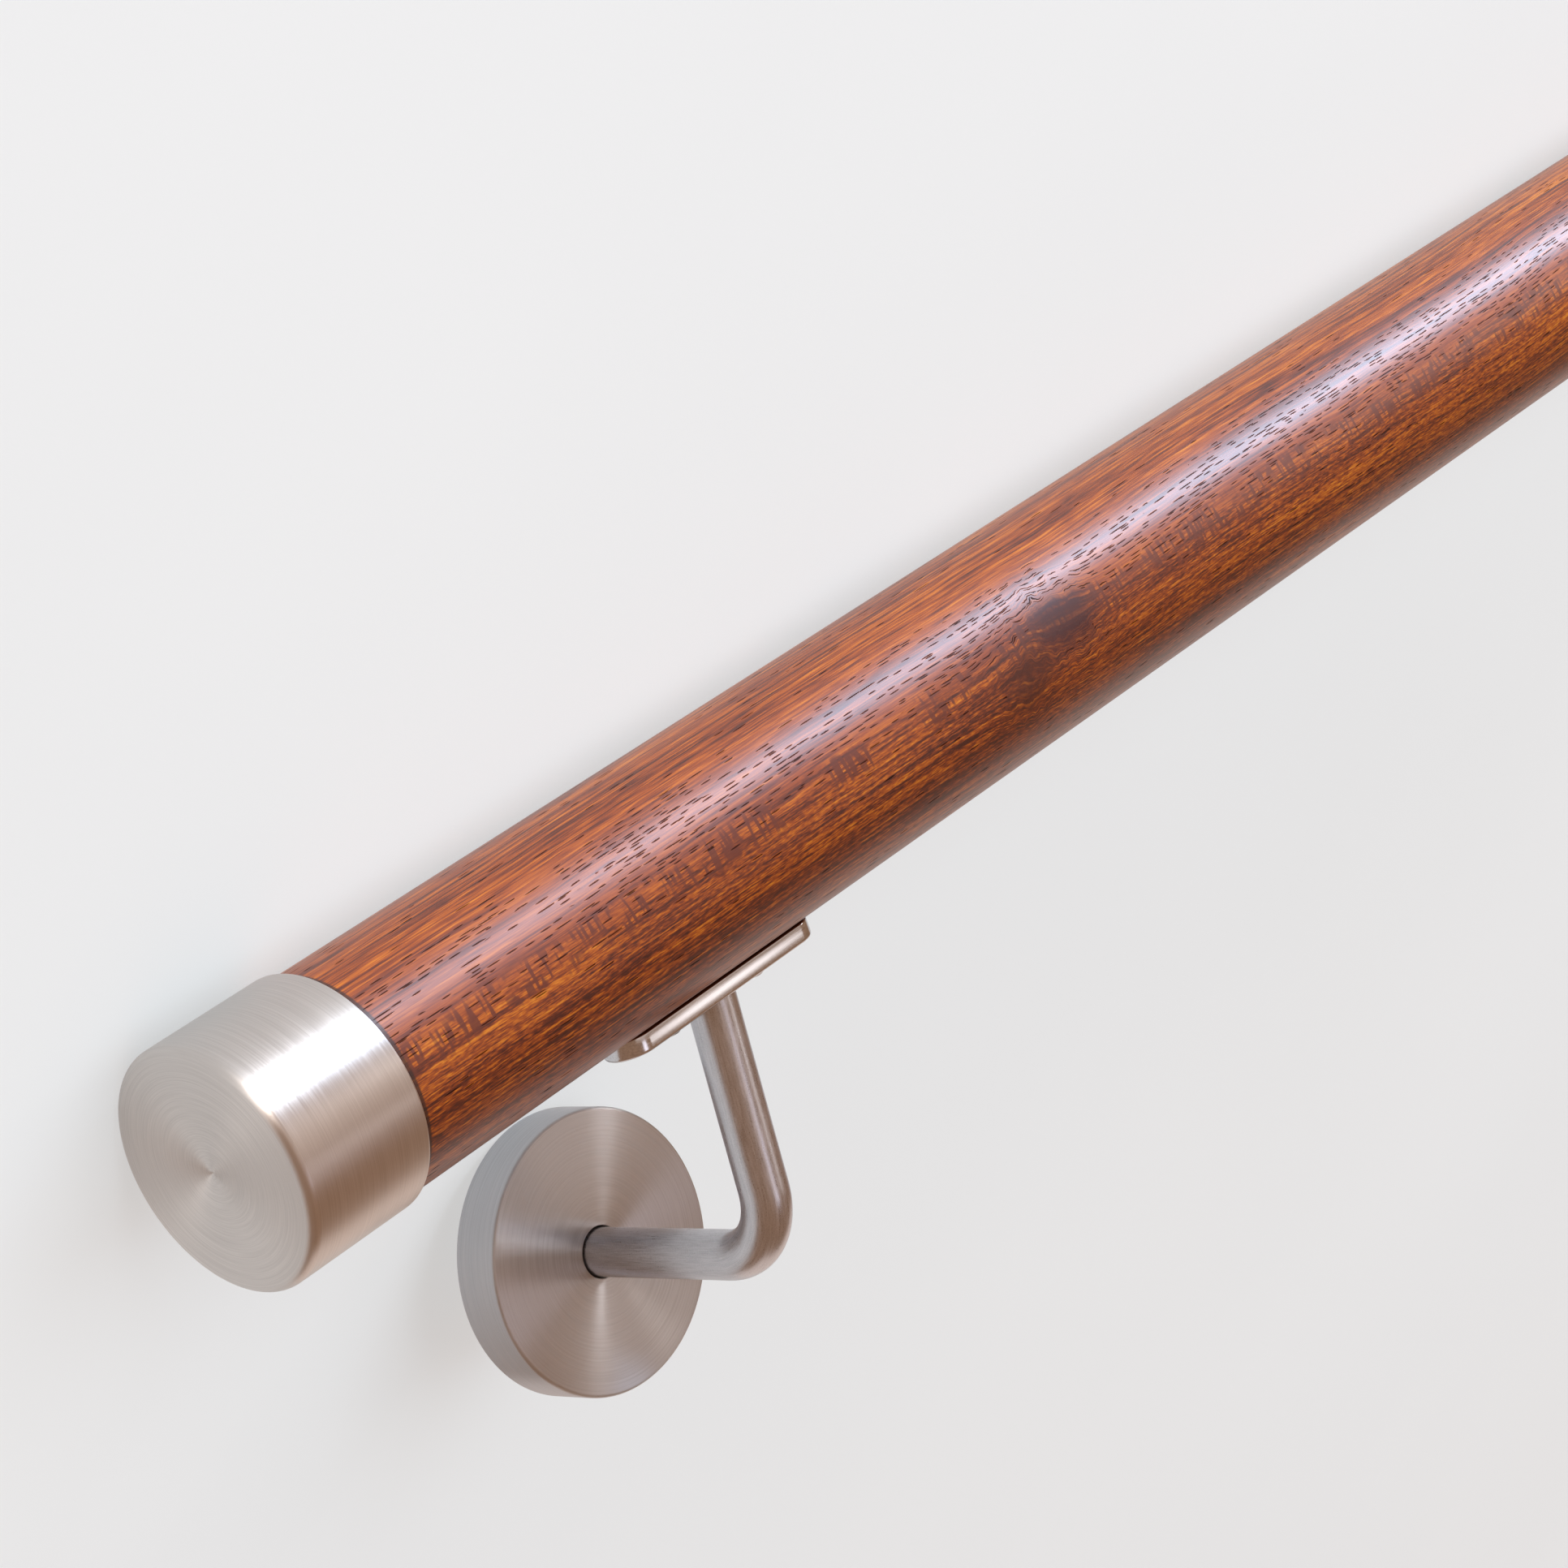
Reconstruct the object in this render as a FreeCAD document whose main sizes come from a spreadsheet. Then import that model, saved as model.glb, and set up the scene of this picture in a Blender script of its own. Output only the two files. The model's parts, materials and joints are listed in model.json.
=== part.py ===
import FreeCAD, Part
import math
import os
import Sketcher
from FreeCAD import Placement, Rotation, Vector

# A straight length of round wooden stair handrail with a steel cap on each end and two steel
# wall brackets under it. Each bracket is a screwed-on flange under a cover rosette, a bent rod
# and a flat saddle plate that is screwed to the rail from below.
#
# Every piece is drawn as it hangs on the wall: X along the rail, Y out of the wall and Z up,
# square to the rail. Its placement then lays it down on the floor, wall side down, where it rests
# on the two caps and on the rims of the two cover rosettes.

doc = FreeCAD.newDocument("stair_handrail")

# Driving dimensions, in millimetres and degrees
dimensions = {
    "rail_length": 1000,
    "rail_dia": 54,
    "rail_chamfer": 1,
    "cap_length": 35,
    "cap_wall": 1.4,
    "cap_floor": 2,
    "cap_clearance": 0.1,
    "cap_edge_bevel": 1.1,
    "wall_distance": 74,
    "rosette_drop": 95,
    "saddle_inset": 142,
    "post_lean": 6.5,
    "rod_dia": 12,
    "bend_radius": 17,
    "cover_dia": 70,
    "cover_height": 13,
    "cover_wall": 1.5,
    "cover_edge_bevel": 0.7,
    "cover_clearance": 0.2,
    "rod_clearance": 0.4,
    "flange_thickness": 5,
    "flange_hole_dia": 5.5,
    "flange_hole_circle": 42,
    "saddle_length": 68,
    "saddle_width": 14,
    "saddle_thickness": 4.5,
    "saddle_under_bevel": 0.9,
    "saddle_top_bevel": 0.6,
    "screw_inset": 19,
    "screw_length": 25,
    "screw_dia": 4,
    "screw_head_dia": 8,
    "screw_head_rise": 2.2,
    "screw_crown_dia": 4,
    "screw_tip": 5,
    "screw_clearance": 0.25,
}

sheet = doc.addObject("Spreadsheet::Sheet", "dims")
for row, (alias, value) in enumerate(dimensions.items(), start=1):
    sheet.set(f"A{row}", alias)
    sheet.set(f"B{row}", str(value))
    sheet.setAlias(f"B{row}", alias)
doc.recompute()

# Values worked out from the driving dimensions
derived = doc.addObject("App::VarSet", "derived")


def derive(kind, name, formula):
    derived.addProperty("App::Property" + kind, name)
    derived.setExpression(name, formula)


derive("Float", "cap_bore", "dims.rail_dia + 2 * dims.cap_clearance")
derive("Float", "cap_dia", "derived.cap_bore + 2 * dims.cap_wall")
derive("Float", "cover_bore", "dims.cover_dia - 2 * dims.cover_wall")
derive("Float", "flange_dia", "derived.cover_bore - 2 * dims.cover_clearance")
derive("Float", "post_height", "dims.rosette_drop - dims.rail_dia / 2 - dims.saddle_thickness")
derive("Float", "post_shift", "derived.post_height * tan(dims.post_lean)")
derive("Float", "saddle_hole", "dims.screw_dia + 2 * dims.screw_clearance")
derive("Float", "head_height", "(dims.screw_head_dia - dims.screw_dia) / 2")
derive("Float", "screw_reach", "dims.saddle_length / 2 - dims.screw_inset")

# The floor touches both caps and the upper rear rim of both cover rosettes. These give that line's
# slope in the section across the rail, and the place of the rail's axis over the floor.
derive("Float", "rim_drop", "dims.rosette_drop - dims.cover_dia / 2")
derive("Float", "rim_reach", "sqrt(dims.wall_distance ^ 2 + derived.rim_drop ^ 2)")
derive(
    "Angle",
    "floor_slope",
    "atan(derived.rim_drop / dims.wall_distance) + asin(derived.cap_dia / 2 / derived.rim_reach)",
)
derive("Angle", "lying_turn", "180 deg - derived.floor_slope")
derive(
    "Float",
    "far_rim",
    "dims.wall_distance * cos(derived.floor_slope)"
    " + (dims.rosette_drop + dims.cover_dia / 2) * sin(derived.floor_slope)",
)
derive("Float", "axis_aside", "(derived.cap_dia / 2 - derived.far_rim) / 2")
derive("Float", "axis_height", "derived.cap_dia / 2")
doc.recompute()


def new_body(label, along, out="0", up="0"):
    # The piece's own origin is given from the rail's middle, as on the wall.
    body = doc.addObject("PartDesign::Body", label)
    body.Label = label
    body.Placement = Placement(Vector(), Rotation(Vector(1, 0, 0), 90))
    turn = "derived.lying_turn"
    body.setExpression("Placement.Rotation.Angle", turn)
    body.setExpression("Placement.Base.x", along)
    body.setExpression(
        "Placement.Base.y",
        f"derived.axis_aside + ({out}) * cos({turn}) - ({up}) * sin({turn})",
    )
    body.setExpression(
        "Placement.Base.z",
        f"derived.axis_height + ({out}) * sin({turn}) + ({up}) * cos({turn})",
    )
    return body


def new_sketch(body, role, name, offset="0", across="0", upward="0"):
    # The offset runs along the plane's normal: +X from YZ, -Y from XZ and +Z from XY. The other two
    # move the sketch's own origin in its plane.
    plane = next(feature for feature in body.Origin.OriginFeatures if feature.Role == role)
    sketch = body.newObject("Sketcher::SketchObject", name)
    sketch.AttachmentSupport = [(plane, "")]
    sketch.MapMode = "FlatFace"
    sketch.setExpression("AttachmentOffset.Base.x", across)
    sketch.setExpression("AttachmentOffset.Base.y", upward)
    sketch.setExpression("AttachmentOffset.Base.z", offset)
    return sketch


def saddle_sketch(body, name):
    # Level with the saddle's underside, its origin at the saddle's centre
    return new_sketch(
        body, "XY_Plane", name, "derived.post_height", "-derived.post_shift", "dims.wall_distance"
    )


def bind(sketch, name, formula, *constraint):
    # The first value only starts the solver, and the formula then sets it.
    index = sketch.addConstraint(Sketcher.Constraint(*constraint))
    sketch.renameConstraint(index, name)
    sketch.setExpression(f"Constraints.{name}", formula)


def add_circle(sketch, name, diameter, across="0", upward="0"):
    circle = sketch.addGeometry(Part.Circle(Vector(1, 1, 0), Vector(0, 0, 1), 1), False)
    bind(sketch, f"{name}_across", across, "DistanceX", -1, 1, circle, 3, 1)
    bind(sketch, f"{name}_upward", upward, "DistanceY", -1, 1, circle, 3, 1)
    bind(sketch, f"{name}_dia", diameter, "Diameter", circle, 2)


def add_outline(sketch, points):
    # A closed outline: each point is a pair of formulas, and neighbouring lines share their ends.
    count = len(points)
    turns = [2 * math.pi * index / count for index in range(count)]
    starts = [Vector(math.cos(turn), math.sin(turn), 0) for turn in turns]
    lines = []
    for index in range(count):
        line = Part.LineSegment(starts[index], starts[(index + 1) % count])
        lines.append(sketch.addGeometry(line, False))
    for index, (across, upward) in enumerate(points):
        sketch.addConstraint(Sketcher.Constraint("Coincident", lines[index - 1], 2, lines[index], 1))
        bind(sketch, f"across_{index}", across, "DistanceX", -1, 1, lines[index], 1, 1)
        bind(sketch, f"upward_{index}", upward, "DistanceY", -1, 1, lines[index], 1, 1)


def pad(body, sketch, length, reverse=False):
    feature = body.newObject("PartDesign::Pad", sketch.Name + "_pad")
    feature.Profile = sketch
    feature.Reversed = reverse
    feature.setExpression("Length", length)
    doc.recompute()
    return feature


def pocket(body, sketch, length=None, reverse=False):
    # With no length it goes right through.
    volume = body.Shape.Volume
    feature = body.newObject("PartDesign::Pocket", sketch.Name + "_pocket")
    feature.Profile = sketch
    feature.Reversed = reverse
    if length is None:
        feature.Type = "ThroughAll"
    else:
        feature.setExpression("Length", length)
    doc.recompute()
    if body.Shape.Volume >= volume:
        raise RuntimeError(f"{feature.Label} cuts nothing")
    return feature


def bevel(body, name, size, chosen):
    # Bevels the chosen edges, which are seen as drawn, before the piece is laid down.
    base = body.Tip
    names = [f"Edge{i}" for i, edge in enumerate(base.Shape.Edges, start=1) if chosen(edge)]
    if not names:
        raise RuntimeError(f"{name} has no edges")
    feature = body.newObject("PartDesign::Chamfer", name)
    feature.Base = (base, names)
    feature.setExpression("Size", size)
    doc.recompute()
    return feature


def is_ring(edge, diameter):
    return isinstance(edge.Curve, Part.Circle) and abs(edge.Curve.Radius - diameter / 2) < 0.001


# The brackets' places along the rail: the saddle's centre, and the rosette's, which the leaning
# post leaves a little nearer to the lower end.
bracket_sides = {"lower": 1, "upper": -1}


def saddle_along(side):
    return f"{side} * (dims.rail_length / 2 - dims.saddle_inset)"


def rosette_along(side):
    return f"{saddle_along(side)} + derived.post_shift"


def screw_along(side, end):
    return f"{saddle_along(side)} + {end} * derived.screw_reach"


screw_ends = {"1": 1, "2": -1}


def make_handrail():
    # A turned hardwood bar, bevelled at its ends, with a pilot hole for each saddle screw
    body = new_body("handrail", "0")
    section = new_sketch(body, "YZ_Plane", "rail_section")
    add_circle(section, "rail", "dims.rail_dia")
    bar = pad(body, section, "dims.rail_length")
    bar.SideType = "Symmetric"
    doc.recompute()
    bevel(body, "rail_ends", "dims.rail_chamfer", lambda edge: is_ring(edge, sheet.rail_dia))
    pilots = new_sketch(body, "XY_Plane", "rail_pilots", "-dims.rail_dia / 2")
    for place, side in bracket_sides.items():
        for number, end in screw_ends.items():
            add_circle(pilots, f"{place}_{number}", "derived.saddle_hole", screw_along(side, end))
    pocket(body, pilots, "dims.screw_length - dims.saddle_thickness + dims.screw_clearance", True)
    return body


def make_end_cap(place, side):
    # A turned cup that slips over the bar until its floor meets the bar's end
    body = new_body(f"end_cap_{place}", f"{side} * dims.rail_length / 2")
    inward = side > 0
    face = new_sketch(body, "YZ_Plane", f"cap_face_{place}", f"{side} * dims.cap_floor")
    add_circle(face, "cap", "derived.cap_dia")
    pad(body, face, "dims.cap_length", inward)
    mouth = new_sketch(
        body, "YZ_Plane", f"cap_mouth_{place}", f"{side} * (dims.cap_floor - dims.cap_length)"
    )
    add_circle(mouth, "bore", "derived.cap_bore")
    pocket(body, mouth, "dims.cap_length - dims.cap_floor", inward)

    def at_face(edge):
        return is_ring(edge, derived.cap_dia) and edge.CenterOfMass.x * side > 0

    bevel(body, f"cap_edge_{place}", "dims.cap_edge_bevel", at_face)
    return body


def bracket_body(label, place, side):
    # The bracket's pieces share an origin: where the rosette's axis meets the wall.
    return new_body(
        f"{label}_{place}", rosette_along(side), "-dims.wall_distance", "-dims.rosette_drop"
    )


def make_wall_flange(place, side):
    # A round plate with three screw holes, hidden by the cover rosette
    body = bracket_body("wall_flange", place, side)
    disc = new_sketch(body, "XZ_Plane", f"flange_disc_{place}")
    add_circle(disc, "disc", "derived.flange_dia")
    pad(body, disc, "dims.flange_thickness", True)
    hole = new_sketch(body, "XZ_Plane", f"flange_hole_{place}")
    add_circle(hole, "hole", "dims.flange_hole_dia", "0", "dims.flange_hole_circle / 2")
    drilled = pocket(body, hole)
    ring = body.newObject("PartDesign::PolarPattern", f"flange_holes_{place}")
    ring.Originals = [drilled]
    ring.Axis = (hole, ["N_Axis"])
    ring.Angle = 360
    ring.Occurrences = 3
    body.Tip = ring
    doc.recompute()
    return body


def make_cover_rosette(place, side):
    # A pressed cup over the flange, flush with the wall, with a bore for the rod
    body = bracket_body("cover_rosette", place, side)
    disc = new_sketch(body, "XZ_Plane", f"cover_disc_{place}")
    add_circle(disc, "disc", "dims.cover_dia")
    pad(body, disc, "dims.cover_height", True)
    hollow = new_sketch(body, "XZ_Plane", f"cover_hollow_{place}")
    add_circle(hollow, "hollow", "derived.cover_bore")
    pocket(body, hollow, "dims.cover_height - dims.cover_wall")
    bore = new_sketch(body, "XZ_Plane", f"cover_bore_{place}")
    add_circle(bore, "bore", "dims.rod_dia + 2 * dims.rod_clearance")
    pocket(body, bore)

    def at_front(edge):
        return is_ring(edge, sheet.cover_dia) and edge.CenterOfMass.y > sheet.cover_height / 2

    bevel(body, f"cover_edge_{place}", "dims.cover_edge_bevel", at_front)
    return body


def make_bracket_arm(place, side):
    # A round rod, straight out of the flange and then bent up to meet the saddle's underside
    body = bracket_body("bracket_arm", place, side)
    section = new_sketch(body, "XZ_Plane", f"rod_section_{place}", "-dims.flange_thickness")
    add_circle(section, "rod", "dims.rod_dia")
    route = new_sketch(body, "YZ_Plane", f"rod_route_{place}")
    route.AttachmentOffset = Placement(Vector(), Rotation(Vector(-1, 0, 0), 1))
    route.setExpression("AttachmentOffset.Rotation.Angle", "dims.post_lean")
    out = route.addGeometry(Part.LineSegment(Vector(1, 0, 0), Vector(5, 0, 0)), False)
    post = route.addGeometry(Part.LineSegment(Vector(7, 2, 0), Vector(7, 6, 0)), False)
    ring = Part.Circle(Vector(5, 2, 0), Vector(0, 0, 1), 2)
    bend = route.addGeometry(Part.ArcOfCircle(ring, 1.5 * math.pi, 2 * math.pi), False)
    route.addConstraint(Sketcher.Constraint("Horizontal", out))
    route.addConstraint(Sketcher.Constraint("Vertical", post))
    route.addConstraint(Sketcher.Constraint("Tangent", out, 2, bend, 1))
    route.addConstraint(Sketcher.Constraint("Tangent", bend, 2, post, 1))
    route.addConstraint(Sketcher.Constraint("PointOnObject", out, 1, -1))
    bind(route, "start", "dims.flange_thickness", "DistanceX", -1, 1, out, 1, 1)
    bind(route, "reach", "dims.wall_distance", "DistanceX", -1, 1, post, 1, 7)
    bind(route, "bend", "dims.bend_radius", "Radius", bend, 2)
    # The post runs past the saddle's underside and is cut off level with it.
    slant = "derived.post_height / cos(dims.post_lean) + dims.rod_dia"
    bind(route, "height", slant, "DistanceY", -1, 1, post, 2, 6)
    doc.recompute()
    pipe = body.newObject("PartDesign::AdditivePipe", f"rod_{place}")
    pipe.Profile = section
    pipe.Spine = route
    doc.recompute()
    cut = saddle_sketch(body, f"rod_top_{place}")
    add_circle(cut, "cut", "4 * dims.rod_dia")
    pocket(body, cut, None, True)
    return body


def make_saddle_plate(place, side):
    # A flat bar with round ends, bevelled above and below, with two countersunk screw holes
    body = bracket_body("saddle_plate", place, side)
    outline = saddle_sketch(body, f"saddle_outline_{place}")
    # Two parallel sides joined by half circles
    quarter = math.pi / 2
    rear = outline.addGeometry(Part.LineSegment(Vector(-27, -7, 0), Vector(27, -7, 0)), False)
    front = outline.addGeometry(Part.LineSegment(Vector(27, 7, 0), Vector(-27, 7, 0)), False)
    right_ring = Part.Circle(Vector(27, 0, 0), Vector(0, 0, 1), 7)
    left_ring = Part.Circle(Vector(-27, 0, 0), Vector(0, 0, 1), 7)
    right = outline.addGeometry(Part.ArcOfCircle(right_ring, -quarter, quarter), False)
    left = outline.addGeometry(Part.ArcOfCircle(left_ring, quarter, 3 * quarter), False)
    corners = [(rear, right), (right, front), (front, left), (left, rear)]
    for first, second in corners:
        outline.addConstraint(Sketcher.Constraint("Tangent", first, 2, second, 1))
    outline.addConstraint(Sketcher.Constraint("Horizontal", rear))
    outline.addConstraint(Sketcher.Constraint("Symmetric", left, 3, right, 3, -1, 1))
    bind(outline, "end_radius", "dims.saddle_width / 2", "Radius", right, 7)
    bind(outline, "ends", "dims.saddle_length - dims.saddle_width", "DistanceX", left, 3, right, 3, 54)
    pad(body, outline, "dims.saddle_thickness")

    def underneath(edge):
        return abs(edge.CenterOfMass.z - derived.post_height) < 0.001

    def on_top(edge):
        return abs(edge.CenterOfMass.z - derived.post_height - sheet.saddle_thickness) < 0.001

    bevel(body, f"saddle_under_{place}", "dims.saddle_under_bevel", underneath)
    bevel(body, f"saddle_top_{place}", "dims.saddle_top_bevel", on_top)
    holes = saddle_sketch(body, f"saddle_holes_{place}")
    for number, end in screw_ends.items():
        add_circle(holes, f"hole_{number}", "derived.saddle_hole", f"{end} * derived.screw_reach")
    pocket(body, holes, None, True)

    def hole_rim(edge):
        return underneath(edge) and is_ring(edge, derived.saddle_hole)

    bevel(body, f"saddle_sinks_{place}", "derived.head_height", hole_rim)
    return body


def make_saddle_screw(place, side, number, end):
    # A raised countersunk wood screw, driven up through the saddle until its rim is flush
    along = screw_along(side, end)
    up = "-dims.rail_dia / 2 - dims.saddle_thickness"
    body = new_body(f"saddle_screw_{place}_{number}", along, "0", up)
    profile = new_sketch(body, "XZ_Plane", f"screw_profile_{place}_{number}")
    shank = "dims.screw_dia / 2"
    outline = [
        ("0", "-dims.screw_head_rise"),
        ("dims.screw_crown_dia / 2", "-dims.screw_head_rise"),
        ("dims.screw_head_dia / 2", "0"),
        (shank, "derived.head_height"),
        (shank, "dims.screw_length - dims.screw_tip"),
        ("0", "dims.screw_length"),
    ]
    add_outline(profile, outline)
    doc.recompute()
    turned = body.newObject("PartDesign::Revolution", f"screw_{place}_{number}")
    turned.Profile = profile
    turned.ReferenceAxis = (profile, ["V_Axis"])
    turned.Angle = 360
    doc.recompute()
    return body


pieces = [make_handrail()]
for place, side in bracket_sides.items():
    pieces.append(make_end_cap(place, side))
    pieces.append(make_wall_flange(place, side))
    pieces.append(make_cover_rosette(place, side))
    pieces.append(make_bracket_arm(place, side))
    pieces.append(make_saddle_plate(place, side))
    for number, end in screw_ends.items():
        pieces.append(make_saddle_screw(place, side, number, end))
doc.recompute()

for item in doc.Objects:
    if "Invalid" in item.State or "Error" in item.State:
        raise RuntimeError(f"{item.Label} failed: {item.State}")
for piece in pieces:
    if piece.Shape.isNull() or not piece.Shape.isValid() or len(piece.Shape.Solids) != 1:
        raise RuntimeError(f"{piece.Label} is not one valid solid")

os.makedirs("parts", exist_ok=True)
for piece in pieces:
    piece.Shape.exportStep(f"parts/{piece.Label}.step")
    box = piece.Shape.optimalBoundingBox()
    print(f"{piece.Label}: {box.XLength:.2f} x {box.YLength:.2f} x {box.ZLength:.2f} mm,",
          f"lowest {box.ZMin:.3f}, {piece.Shape.Volume:.0f} mm3")
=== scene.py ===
import json
import math

import bmesh
import bpy
from mathutils import Matrix, Vector


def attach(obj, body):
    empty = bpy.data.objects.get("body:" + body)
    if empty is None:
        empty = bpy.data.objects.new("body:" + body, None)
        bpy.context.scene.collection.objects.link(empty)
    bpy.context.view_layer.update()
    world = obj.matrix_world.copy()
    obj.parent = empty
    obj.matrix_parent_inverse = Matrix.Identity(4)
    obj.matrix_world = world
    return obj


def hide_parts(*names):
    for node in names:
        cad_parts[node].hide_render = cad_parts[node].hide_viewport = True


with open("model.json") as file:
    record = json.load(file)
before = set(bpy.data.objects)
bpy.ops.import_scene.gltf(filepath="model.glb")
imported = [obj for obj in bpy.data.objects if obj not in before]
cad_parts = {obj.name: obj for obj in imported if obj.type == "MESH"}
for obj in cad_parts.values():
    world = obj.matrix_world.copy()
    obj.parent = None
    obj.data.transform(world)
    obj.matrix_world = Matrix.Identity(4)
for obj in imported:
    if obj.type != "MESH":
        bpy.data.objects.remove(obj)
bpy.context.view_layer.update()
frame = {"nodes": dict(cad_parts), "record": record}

scene = bpy.context.scene
mounts = {mount["name"]: mount for mount in frame["record"]["mounts"]}

# The pieces are drawn as they are fitted, in millimetres from the middle of the rail: X along the rail
# towards its lower end, Y away from the flanges, Z up. One matrix then lays them on the floor.
fitted = {
    "wallDistance": 74.0,
    "rosetteDrop": 95.0,
    "saddleAlong": 358.0,
    "postLean": math.radians(6.5),
    "saddleUnderside": -31.5,
}
mm = 0.001
wallFaces = {place: Vector(mounts["wall_face_" + place]["pos_m"]) for place in ("lower", "upper")}
alongRail = Vector((1, 0, 0))
outOfWall = -Vector(mounts["wall_face_lower"]["axis"]).normalized()
upWall = alongRail.cross(outOfWall)
railMiddle = (
    wallFaces["lower"] + outOfWall * fitted["wallDistance"] * mm + upWall * fitted["rosetteDrop"] * mm
)
railMiddle.x = 0
layTurn = math.atan2(outOfWall.z, outOfWall.y)
lay = Matrix.Translation(railMiddle) @ Matrix.Rotation(layTurn, 4, "X") @ Matrix.Scale(mm, 4)
rosetteAlong = {place: wallFaces[place].x / mm for place in wallFaces}
saddleAlong = {"lower": fitted["saddleAlong"], "upper": -fitted["saddleAlong"]}
print("frame: rail axis at", [round(value / mm, 2) for value in railMiddle])


def toLinear(hexColor):
    parts = [int(hexColor[i:i + 2], 16) / 255 for i in (1, 3, 5)]
    curve = [p / 12.92 if p <= 0.04045 else ((p + 0.055) / 1.055) ** 2.4 for p in parts]
    return (*curve, 1.0)


def addNode(tree, kind, links=None, stops=None, **settings):
    # Links are given by socket name, or by number where names repeat: a value, a socket or a node
    node = tree.nodes.new("ShaderNode" + kind)
    for name, value in settings.items():
        setattr(node, name, value)
    usable = [socket for socket in node.inputs if socket.enabled]
    for key, value in (links or {}).items():
        named = [socket for socket in usable if socket.name == key]
        socket = named[0] if named else usable[key]
        if isinstance(value, bpy.types.Node):
            value = next(output for output in value.outputs if output.enabled)
        if isinstance(value, bpy.types.NodeSocket):
            tree.links.new(value, socket)
        else:
            socket.default_value = value
    if stops:
        ramp = node.color_ramp
        while len(ramp.elements) < len(stops):
            ramp.elements.new(0.5)
        for element, (position, hexColor) in zip(ramp.elements, stops):
            element.position = position
            element.color = toLinear(hexColor)
    return node


def startMaterial(name):
    material = bpy.data.materials.new(name)
    material.use_nodes = True
    tree = material.node_tree
    return material, tree, tree.nodes["Principled BSDF"]


# Values that the materials share
noiseMiddle = 0.5
noiseSpan = (0.3, 0.7)  # where most of a noise lies
detailShare = 0.6       # what each finer octave adds
reliefDepth = 0.1 * mm

# Varnished hardwood, turned and rubbed down: an orange-brown bar with darker streaks along the grain,
# a ribbon of ray flecks, a few knots, and open pores that break up the varnish's satin gloss.
# Sizes are millimetres along and across the grain, and turns are round the bar from its front.
wood = {
    "name": "varnished hardwood turned",
    "radius": 27.0,
    "tones": [
        (0.1, "#3E1304"), (0.34, "#632608"), (0.54, "#8C4009"), (0.74, "#AC5C0C"), (0.94, "#C07618"),
    ],
    "middleTone": 0.50,
    "figure": {
        "bands": {"size": (320.0, 7.0), "octaves": 2.0, "weight": 0.6},
        "patches": {"size": (60.0, 4.0), "octaves": 3.0, "weight": 0.45},
        "streaks": {"size": (80.0, 0.85), "octaves": 3.0, "weight": 1.4},
        # Fibres are finer in the real wood, and are drawn wide enough to show
        "fibres": {"size": (10.0, 0.36), "octaves": 1.0, "weight": 0.95},
        # The curl's zone, on the lower front of the bar and the opposite side, is also a little darker:
        # painted shade
        "curl": {
            "size": (2.4, 0.38), "octaves": 1.0, "weight": 1.15, "darker": 0.035,
            "turn": math.radians(-20), "zone": (math.radians(15), math.radians(50)),
        },
    },
    # Painted shade where the gloss falls: a plainer, slightly darker figure
    "shadeUnderGloss": {
        "turn": math.radians(34), "zone": (math.radians(8), math.radians(24)),
        "share": 0.4, "darker": 0.02,
    },
    "wander": (140.0, 5.0),
    "knots": [
        {"place": (232.0, 6.6), "size": (14.0, 8.5), "push": 0.6, "colour": "#3A1214", "depth": 0.95},
        {"place": (251.0, -1.0), "size": (11.0, 8.0), "push": 0.6, "colour": "#441808", "depth": 0.75},
        {"place": (-196.0, -52.0), "size": (11.0, 7.0), "push": 0.6, "colour": "#3C1A0C", "depth": 0.7},
    ],
    "knotLook": {
        "raggedScale": 0.22,  # lumps to a millimetre
        "raggedReach": 1.1, "edge": (0.05, 0.95), "core": (0.45, 0.85),
        "streakSpan": (0.35, 0.65), "streaked": (1.1, 0.8),
    },
    "rays": {
        "size": (1.1, 6.0), "edge": (0.46, 0.6), "runSize": (11.0, 6.0), "runEdge": (0.4, 0.56),
        "turn": math.radians(13), "zone": (math.radians(4), math.radians(11)),
        "colour": "#5A2412", "depth": 0.9,
    },
    "pores": {
        "cell": (5.2, 0.85), "half": (1.9, 0.16), "lengths": (0.55, 1.4), "edge": (1.2, 0.8),
        "crowdSize": (40.0, 5.0), "crowdSpan": (0.35, 0.65), "crowding": (0.5, 1.5),
        "turn": math.radians(33), "zone": (math.radians(9), math.radians(22)), "shares": (0.06, 0.5),
        "colour": "#1A0A05", "depth": 0.8,
    },
    # Painted shade: the dark line on the wood against each cap
    "jointShade": {"edge": 467.0, "width": 2.0, "soft": 0.6, "colour": "#240E06", "depth": 0.85},
    "ripple": 0.15,
    "relief": 0.2,
    "roughness": 0.5,
    "underSpecular": 0.1,
    "coatWeight": 1.0,
    "coatIor": 1.5,
    "coatRoughness": 0.39,
}


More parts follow.
